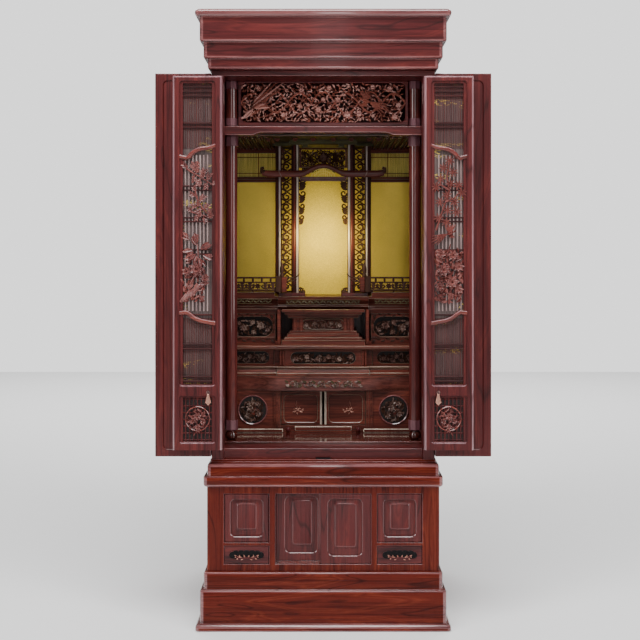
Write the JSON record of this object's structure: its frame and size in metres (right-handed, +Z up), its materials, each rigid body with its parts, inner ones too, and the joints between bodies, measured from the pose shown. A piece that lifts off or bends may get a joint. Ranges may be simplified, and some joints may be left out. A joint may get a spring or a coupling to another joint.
{
  "type": "household altar cabinet",
  "caption": "Tall rosewood altar cabinet with double-fold doors, lattice inner doors, gilded shrine interior and a lower cupboard with drawers.",
  "frame": {"origin": "centre of the bounding box on the floor", "axes": "+Z up, -Y towards the front, +X to the viewer's right"},
  "size_m": [0.894, 0.56, 1.623],
  "materials": {
    "rosewood": "polished dark red rosewood",
    "gold": "matt gold leaf",
    "reed": "split reed in a rosewood frame",
    "iron": "blackened"
  },
  "bodies": {
    "cabinet": {"base_plinth": "rosewood", "lower_carcass": "rosewood", "face_frame": "rosewood", "middle_ledge": "rosewood", "catch_plate": "iron", "case_wall_left": "rosewood", "case_wall_right": "rosewood", "case_back": "rosewood", "roof_board": "rosewood", "sill": "rosewood", "floor_board": "rosewood", "crown": "rosewood", "tie_beam": "rosewood", "short_pillar_left": "rosewood", "short_pillar_right": "rosewood", "main_pillar_left": "rosewood", "main_pillar_right": "rosewood", "transom_panel": "rosewood", "ceiling_board": "rosewood", "gold_centre": "gold", "gold_side_left": "gold", "gold_side_right": "gold", "reed_screen_left": "reed", "reed_screen_right": "reed", "column_screen_left": "rosewood", "column_screen_right": "rosewood", "canopy_beam": "rosewood", "peony_panel": "rosewood", "arch_beam": "rosewood", "railing_left": "rosewood", "railing_right": "rosewood", "upper_platform": "rosewood", "altar_pedestal": "rosewood", "side_tier_left": "rosewood", "side_tier_right": "rosewood", "long_shelf": "rosewood", "panel_row": "rosewood", "moulded_step": "rosewood", "bowed_counter": "rosewood", "inner_cupboard": "rosewood"},
    "small_door_left": {"small_door_left": "rosewood"},
    "small_door_right": {"small_door_right": "rosewood"},
    "drawer_left": {"drawer_left": "rosewood"},
    "drawer_right": {"drawer_right": "rosewood"},
    "sliding_door_left": {"sliding_door_left": "rosewood"},
    "sliding_door_right": {"sliding_door_right": "rosewood"},
    "cupboard_door_left": {"cupboard_door_left": "rosewood"},
    "cupboard_door_right": {"cupboard_door_right": "rosewood"},
    "outer_leaf_left": {"outer_leaf_left": "rosewood"},
    "outer_leaf_right": {"outer_leaf_right": "rosewood"},
    "outer_fold_left": {"outer_fold_left": "rosewood"},
    "outer_fold_right": {"outer_fold_right": "rosewood"},
    "inner_leaf_left": {"inner_leaf_left": "rosewood"},
    "inner_leaf_right": {"inner_leaf_right": "rosewood"},
    "inner_fold_left": {"inner_fold_left": "rosewood"},
    "inner_fold_right": {"inner_fold_right": "rosewood"}
  },
  "joints": [
    {"name": "outer_swing_left", "type": "hinge", "parent": "cabinet", "child": "outer_leaf_left", "pos_m": [-0.297, -0.2225, 0.9545], "axis": [0, 0, 1], "range_deg": [0, 180]},
    {"name": "outer_unfold_left", "type": "hinge", "parent": "outer_leaf_left", "child": "outer_fold_left", "pos_m": [-0.4475, -0.194, 0.9545], "axis": [0, 0, 1], "range_deg": [0, 180]},
    {"name": "inner_swing_left", "type": "hinge", "parent": "cabinet", "child": "inner_leaf_left", "pos_m": [-0.2643, -0.2205, 0.9596], "axis": [0, 0, 1], "range_deg": [0, 180]},
    {"name": "inner_unfold_left", "type": "hinge", "parent": "inner_leaf_left", "child": "inner_fold_left", "pos_m": [-0.3941, -0.2455, 0.9596], "axis": [0, 0, -1], "range_deg": [0, 180]},
    {"name": "small_door_swing_left", "type": "hinge", "parent": "cabinet", "child": "small_door_left", "pos_m": [-0.2596, -0.2472, 0.2883], "axis": [0, 0, -1], "range_deg": [0, 100]},
    {"name": "drawer_slide_left", "type": "slide", "parent": "cabinet", "child": "drawer_left", "axis": [0, -1, 0], "range_m": [0, 0.24]},
    {"name": "sliding_door_slide_left", "type": "slide", "parent": "cabinet", "child": "sliding_door_left", "axis": [1, 0, 0], "range_m": [0, 0.113]},
    {"name": "cupboard_door_swing_left", "type": "hinge", "parent": "cabinet", "child": "cupboard_door_left", "pos_m": [-0.1224, 0.0274, 0.538], "axis": [0, 0, -1], "range_deg": [0, 90]},
    {"name": "outer_swing_right", "type": "hinge", "parent": "cabinet", "child": "outer_leaf_right", "pos_m": [0.297, -0.2225, 0.9545], "axis": [0, 0, -1], "range_deg": [0, 180]},
    {"name": "outer_unfold_right", "type": "hinge", "parent": "outer_leaf_right", "child": "outer_fold_right", "pos_m": [0.4475, -0.194, 0.9545], "axis": [0, 0, -1], "range_deg": [0, 180]},
    {"name": "inner_swing_right", "type": "hinge", "parent": "cabinet", "child": "inner_leaf_right", "pos_m": [0.2643, -0.2205, 0.9596], "axis": [0, 0, -1], "range_deg": [0, 180]},
    {"name": "inner_unfold_right", "type": "hinge", "parent": "inner_leaf_right", "child": "inner_fold_right", "pos_m": [0.3941, -0.2455, 0.9596], "axis": [0, 0, 1], "range_deg": [0, 180]},
    {"name": "small_door_swing_right", "type": "hinge", "parent": "cabinet", "child": "small_door_right", "pos_m": [0.2596, -0.2472, 0.2883], "axis": [0, 0, 1], "range_deg": [0, 100]},
    {"name": "drawer_slide_right", "type": "slide", "parent": "cabinet", "child": "drawer_right", "axis": [0, -1, 0], "range_m": [0, 0.24]},
    {"name": "sliding_door_slide_right", "type": "slide", "parent": "cabinet", "child": "sliding_door_right", "axis": [-1, 0, 0], "range_m": [0, 0.113]},
    {"name": "cupboard_door_swing_right", "type": "hinge", "parent": "cabinet", "child": "cupboard_door_right", "pos_m": [0.1224, 0.0274, 0.538], "axis": [0, 0, 1], "range_deg": [0, 90]}
  ],
  "couplings": [
    {"joint": "inner_swing_left", "follows": "outer_swing_left", "ratio": 1},
    {"joint": "inner_unfold_left", "follows": "outer_swing_left", "ratio": 1},
    {"joint": "inner_swing_right", "follows": "outer_swing_right", "ratio": 1},
    {"joint": "inner_unfold_right", "follows": "outer_swing_right", "ratio": 1}
  ]
}
